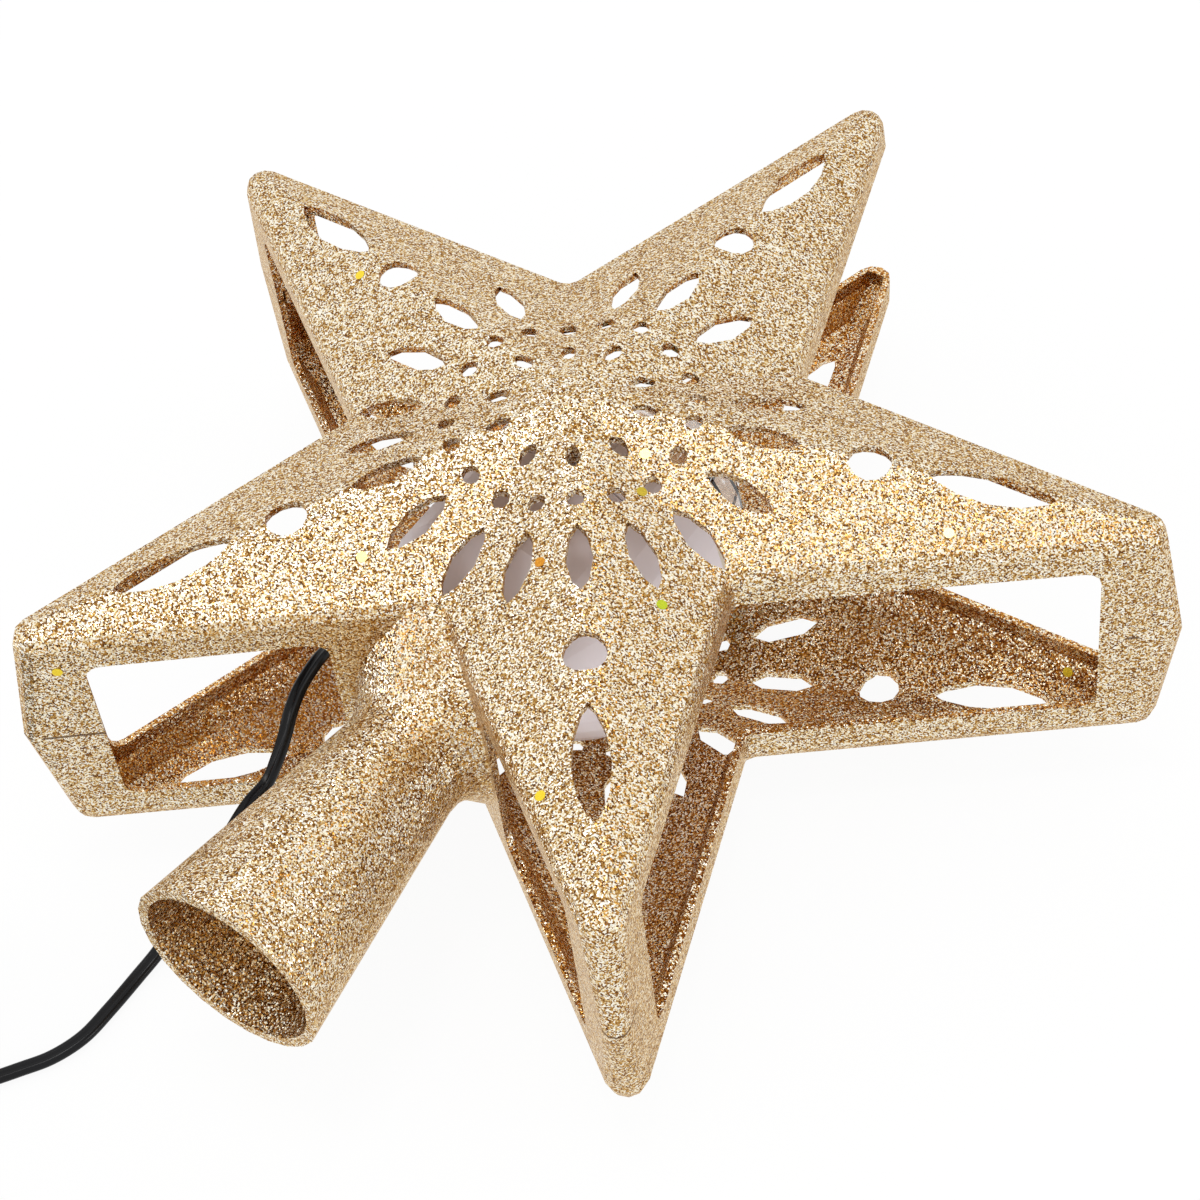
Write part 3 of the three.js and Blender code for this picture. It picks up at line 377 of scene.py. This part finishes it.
def seam(m, place):
    """Strength of the thin dark line where the two shells meet."""
    apart = m.node("ShaderNodeSeparateXYZ", {"Vector": place}).outputs
    near = m.maths("LESS_THAN", m.maths("ABSOLUTE", apart["Z"]), SEAM_HALF)
    beside = m.maths("GREATER_THAN", m.maths("ABSOLUTE", apart["X"]), SOCKET_REACH)
    open_here = m.maths("GREATER_THAN", m.noise(scale=110, detail=2), SEAM_BRIDGED)
    line = m.maths("MULTIPLY", m.maths("MULTIPLY", near, beside), open_here)
    return m.maths("MULTIPLY", line, SEAM_STRENGTH)


def flake_shade(m, flake, fine, inside):
    """Where each flake stands between the darkest, 0, and the lightest, 1."""
    patches = m.maths("SUBTRACT", m.noise(scale=140, detail=2), 0.5)
    large = m.maths("MULTIPLY", flake, 1 - FINE_SHARE)
    shade = m.maths("ADD", large, m.maths("MULTIPLY", fine, FINE_SHARE))
    shade = m.maths("ADD", shade, m.maths("MULTIPLY", patches, PATCH_SHARE))
    # Flakes inside the star are darker, as painted shade
    return m.maths("SUBTRACT", shade, m.maths("MULTIPLY", inside, INSIDE_PAINTED_SHADE))


def glitter(name):
    """Metallic flakes between brown gold and white, with painted shade of a deeper, darker gold on the
    shells' insides.
    """
    m = Material(name)
    flakes = m.cells(1 / FLAKE)
    fine = m.cells(FINE_PER_FLAKE / FLAKE)
    chance = m.channels(flakes)
    place = m.vector("SUBTRACT", m.coords, tuple(STAR_CENTRE))
    inside = inside_shade_mask(m, place)
    shade = flake_shade(m, chance[0], m.channels(fine)[0], inside)
    # Inside the star the colour comes from the darker, more orange ramp of painted shade
    colour = m.mix(inside, m.ramp(shade, OUTSIDE_FLAKES), m.ramp(shade, INSIDE_SHADE_FLAKES))
    return m.shade(
        Base_Color=m.mix(seam(m, place), colour, srgb(*SEAM_SHADE)),
        Roughness=m.spread(chance[1], low=0.18, high=0.36),
        Normal=m.leaning((flakes, FLAKE_LEAN), (fine, FINE_LEAN)),
        Metallic=0.92,
        Specular_Tint=(0.8, 0.56, 0.28, 1),
        Coat_Weight=0.3,
        Coat_Roughness=0.25,
        Coat_IOR=1.5,
        Coat_Normal=m.leaning((flakes, COAT_LEAN)),
    )


# Other finishes

def flex_skin(name):
    m = Material(name)
    mottle = m.noise(scale=900, detail=4)
    return m.shade(
        Base_Color=m.mix(m.noise(scale=70, detail=2), srgb(9, 9, 11), srgb(18, 18, 21)),
        Roughness=m.spread(mottle, low=0.2, high=0.3),
        Normal=m.bump(mottle, strength=0.12, distance=0.1 * MM),
        Specular_IOR_Level=0.2,
    )


def moulded(name, light, dark, grain=1400, depth=0.12, rough=(0.3, 0.42)):
    m = Material(name)
    fine = m.noise(grain)
    return m.shade(
        Base_Color=m.mix(m.noise(scale=38), srgb(*dark), srgb(*light)),
        Roughness=m.spread(fine, *rough),
        Normal=m.bump(fine, strength=depth, distance=0.08 * MM),
    )


def metal(name, light, dark):
    """Drawn metal, with fine lines across Z."""
    m = Material(name)
    stretched = m.node("ShaderNodeMapping", {"Vector": m.coords, "Scale": (1, 1, 14)}).outputs[0]
    lines = m.noise(scale=700, detail=4, coords=stretched)
    return m.shade(
        Base_Color=m.mix(lines, srgb(*dark), srgb(*light)),
        Roughness=m.spread(lines, low=0.25, high=0.42),
        Normal=m.bump(lines, strength=0.08, distance=0.05 * MM),
        Metallic=1.0,
    )


def clear(name):
    m = Material(name)
    wave = m.noise(scale=160, detail=2)
    return m.shade(
        Base_Color=m.mix(wave, (0.96, 0.95, 0.95, 1), WHITE),
        Roughness=m.spread(m.noise(scale=1500, detail=2), low=0.02, high=0.09),
        Normal=m.bump(wave, strength=0.05, distance=0.2 * MM),
        Transmission_Weight=1.0,
        IOR=1.49,
    )


def board(name):
    """Solder mask over a weave, with paler tracks."""
    m = Material(name)
    grid = {"Vector": m.coords, "Scale": 420, "Mortar Size": 0.03}
    tracks = m.node("ShaderNodeTexBrick", grid).outputs["Fac"]
    mask = m.mix(m.noise(scale=2200, detail=2), srgb(20, 92, 48), srgb(32, 116, 62))
    return m.shade(
        Base_Color=m.mix(m.maths("MULTIPLY", tracks, 0.5), mask, srgb(64, 150, 84)),
        Roughness=0.38,
        Normal=m.bump(tracks, strength=0.1, distance=0.1 * MM),
    )


def foil(name, light, dark):
    m = Material(name)
    crinkle = m.noise(scale=1800)
    return m.shade(
        Base_Color=m.mix(crinkle, srgb(*dark), srgb(*light)),
        Roughness=m.spread(crinkle, low=0.2, high=0.34),
        Normal=m.bump(crinkle, strength=0.1, distance=0.03 * MM),
        Metallic=0.55,
    )


def pale_floor(name):
    """White to the camera and in reflections, and otherwise a plain floor that takes the shadow."""
    m = Material(name)
    ray = m.node("ShaderNodeLightPath").outputs
    reflected = m.maths("MAXIMUM", ray["Is Glossy Ray"], ray["Is Transmission Ray"])
    glowing = m.maths("MAXIMUM", m.maths("MULTIPLY", ray["Is Camera Ray"], FLOOR_GLOW), reflected)
    glow = m.node("ShaderNodeEmission", {"Color": WHITE, "Strength": 1}).outputs[0]
    both = m.node("ShaderNodeMixShader", {0: glowing, 1: m.shader.outputs[0], 2: glow}).outputs[0]
    m.feed(both, m.tree.nodes["Material Output"].inputs[0])
    grain = m.noise(scale=30, detail=2)
    return m.shade(
        Base_Color=m.mix(grain, (0.86, 0.86, 0.86, 1), (0.89, 0.89, 0.89, 1)),
        Roughness=0.9,
    )


black_flex = flex_skin("black_flex")
FINISHES = {
    "glitter": glitter("gold_glitter"),
    "white_plastic": moulded("white_case", light=(253, 247, 252), dark=(247, 240, 246)),
    "clear_plastic": clear("clear_plastic"),
    "steel": metal("zinc_plate", light=(196, 199, 204), dark=(160, 163, 168)),
    "nylon": moulded("natural_nylon", light=(238, 230, 214), dark=(226, 217, 198), rough=(0.4, 0.55)),
    "circuit_board": board("green_board"),
    "black_plastic": moulded(
        "black_case", light=(34, 34, 38), dark=(24, 24, 27), grain=1000, depth=0.3, rough=(0.42, 0.6)
    ),
    "black_flex": black_flex,
    "brass": metal("bare_brass", light=(214, 178, 98), dark=(178, 140, 68)),
}


def dress_nodes():
    smooth = smoothing()
    for subpart in frame["record"]["subparts"]:
        name = subpart["node"]
        obj = nodes[name]
        obj.data.materials.clear()
        obj.data.materials.append(FINISHES[subpart["material_slot"]])
        if name in ROUNDED:
            round_edges(obj, ROUNDED[name] * MM)
        # The dome's facets are its lenses, so it stays flat shaded
        if name != "lens_dome":
            obj.modifiers.new("smooth", "NODES").node_group = smooth


# Sequins in the glitter

def surface_tree(name):
    mesh = nodes[name].data
    faces = [tuple(face.vertices) for face in mesh.polygons]
    return BVHTree.FromPolygons([vertex.co for vertex in mesh.vertices], faces)


def add_disc(bm, spot, normal, turned):
    """A thin disc just over the surface; returns its faces."""
    across = Matrix.Rotation(turned, 3, normal) @ normal.orthogonal().normalized()
    along = normal.cross(across)
    low, high = [], []
    for ring, lift in ((low, SEQUIN_LIFT), (high, SEQUIN_LIFT * 2)):
        for side in range(SEQUIN_SIDES):
            turn = side * math.tau / SEQUIN_SIDES
            reach = across * math.cos(turn) + along * math.sin(turn)
            ring.append(bm.verts.new(spot + reach * SEQUIN_RADIUS + normal * lift))
    made = [bm.faces.new(high), bm.faces.new(list(reversed(low)))]
    for side in range(SEQUIN_SIDES):
        after = (side + 1) % SEQUIN_SIDES
        made.append(bm.faces.new((low[side], low[after], high[after], high[side])))
    return made


def scatter_sequins():
    trees = [surface_tree(name) for name in ("front_shell", "back_shell")]
    names = list(SEQUIN_COLOURS)
    bm = bmesh.new()
    for index, (x, y, z, colour) in enumerate(SEQUINS):
        place = Vector((x, y, z)) * MM + STAR_CENTRE
        spot, normal = min((tree.find_nearest(place) for tree in trees), key=lambda hit: hit[3])[:2]
        for face in add_disc(bm, spot, normal, index * SEQUIN_TURN):
            face.material_index = names.index(colour)
    foils = [foil(f"{name}_foil", *SEQUIN_COLOURS[name]) for name in names]
    obj = from_bmesh("sequins", bm, foils, smooth=False)
    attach(obj, "body")


# Lead and coil

coil_start_angle = COIL_HEADING + 90
coil_turns = COIL_TURNS - 1 + (coil_start_angle % 360) / 360
turns_per_layer = coil_turns / COIL_LAYERS
coil_outer = COIL_RADIUS + turns_per_layer * COIL_RADIAL_STEP / 2
coil_low = LEAD_RADIUS + COIL_LIFT


def smoothstep(value, low, high):
    share = min(max((value - low) / (high - low), 0), 1)
    return share * share * (3 - 2 * share)


def coil_point(turns):
    """Place on the coil, which winds inwards and outwards by turns and climbs between its layers."""
    layer = min(int(turns / turns_per_layer), COIL_LAYERS - 1)
    in_layer = turns - layer * turns_per_layer
    way_in = in_layer if layer % 2 == 0 else turns_per_layer - in_layer
    radius = coil_outer - COIL_RADIAL_STEP * way_in
    climbed = 0
    for reversal in range(1, COIL_LAYERS):
        at = reversal * turns_per_layer
        climbed += smoothstep(turns, at - CLIMB_HALF, at + CLIMB_HALF)
    angle = math.radians(coil_start_angle) - turns * math.tau
    x = COIL_CENTRE[0] + radius * math.cos(angle)
    y = COIL_CENTRE[1] + radius * math.sin(angle)
    return Vector((x, y, coil_low + climbed * COIL_LAYER_STEP))


def curve_through(points):
    """Centripetal Catmull-Rom curve through the points."""
    ends = [points[0] * 2 - points[1], *points, points[-1] * 2 - points[-2]]
    line = []
    for before, start, end, after in zip(ends, ends[1:], ends[2:], ends[3:]):
        span_in = (start - before).length ** 0.5
        span = (end - start).length ** 0.5
        span_out = (after - end).length ** 0.5
        chord = (end - start) / span
        leaving = ((start - before) / span_in - (end - before) / (span_in + span) + chord) * span
        arriving = (chord - (after - start) / (span + span_out) + (after - end) / span_out) * span
        for step in range(SPAN_STEPS):
            t = step / SPAN_STEPS
            line.append(
                start * (2 * t**3 - 3 * t**2 + 1)
                + leaving * (t**3 - 2 * t**2 + t)
                + end * (3 * t**2 - 2 * t**3)
                + arriving * (t**3 - t**2)
            )
    line.append(points[-1])
    return line


def lead_line():
    """The whole lead in metres: along the listed route to the coil, round it, and on to the supply."""
    angle = math.radians(COIL_HEADING)
    heading = Vector((math.cos(angle), math.sin(angle), 0))
    coil_start = coil_point(0) - heading * STRAIGHT_END
    points = [Vector(point) for point in LEAD_ROUTE]
    for back in (STRAIGHT_END, 0):
        points.append(coil_start - heading * (LEAD_GAP + back))
    line = curve_through(points)
    line.append(coil_start)
    steps = round(coil_turns * COIL_STEPS)
    for step in range(steps + 1):
        line.append(coil_point(coil_turns * step / steps))
    leave = line[-1]
    for step in range(1, RUN_STEPS + 1):
        share = step / RUN_STEPS
        sunk = (SUPPLY_MIDDLE - leave.z) * smoothstep(share, 0, SINK_SHARE)
        line.append(leave + Vector((0, -(SUPPLY_RUN - LEAD_GAP) * share, sunk)))
    return [point * MM + Vector((0, MIDDLE, 0)) for point in line]


def twin_section():
    section = []
    for side in (1, -1):
        for step in range(CORE_SIDES + 1):
            turn = math.pi * (step / CORE_SIDES - side / 2)
            section.append((side * CORE_REACH + CORE_RADIUS * math.cos(turn), CORE_RADIUS * math.sin(turn)))
        section.append((0, side * WEB_HALF))
    return section


def swept(name, line, section, material):
    bm = bmesh.new()
    rings = []
    for index, point in enumerate(line):
        before = line[max(index - 1, 0)]
        after = line[min(index + 1, len(line) - 1)]
        along = (after - before).normalized()
        across = along.cross(Vector((0, 0, 1))).normalized()
        rise = across.cross(along)
        rings.append([bm.verts.new(point + across * x + rise * y) for x, y in section])
    count = len(section)
    for one, two in zip(rings, rings[1:]):
        for side in range(count):
            after = (side + 1) % count
            bm.faces.new((one[side], one[after], two[after], two[side]))
    bm.faces.new(rings[0])
    bm.faces.new(list(reversed(rings[-1])))
    return from_bmesh(name, bm, [material])


def lay_flex():
    line = lead_line()
    flex = swept("flex", line, twin_section(), black_flex)
    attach(flex, "body")
    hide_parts("lead", "lead_coil")


# Floor, world and lamps

def lay_floor():
    bm = bmesh.new()
    bmesh.ops.create_grid(bm, x_segments=1, y_segments=1, size=FLOOR_HALF)
    from_bmesh("floor", bm, [pale_floor("pale_floor")], smooth=False)


def light_world():
    world = bpy.data.worlds.new("studio")
    bpy.context.scene.world = world
    world.use_nodes = True
    background = world.node_tree.nodes["Background"]
    background.inputs["Color"].default_value = WHITE
    background.inputs["Strength"].default_value = 1


def lamp(name, place, size, power):
    data = bpy.data.lights.new(name, "AREA")
    data.shape = "DISK"
    data.size = size
    data.energy = power
    obj = link(bpy.data.objects.new(name, data))
    obj.location = place
    obj.rotation_euler = (LAMP_AIM - Vector(place)).to_track_quat("-Z", "Y").to_euler()


place_camera()
bpy.context.scene.view_settings.view_transform = "Standard"
dress_nodes()
scatter_sequins()
lay_flex()
lay_floor()
light_world()
lamp("key", place=(0.0, -0.05, 1.55), size=0.45, power=3.9)
lamp("fill", place=(0.5, -1.5, 0.9), size=0.6, power=2)
lamp("left", place=(-1.0, -0.95, 0.4), size=0.4, power=2.2)
lamp("right", place=(1.25, 0.1, 0.4), size=0.4, power=2.2)
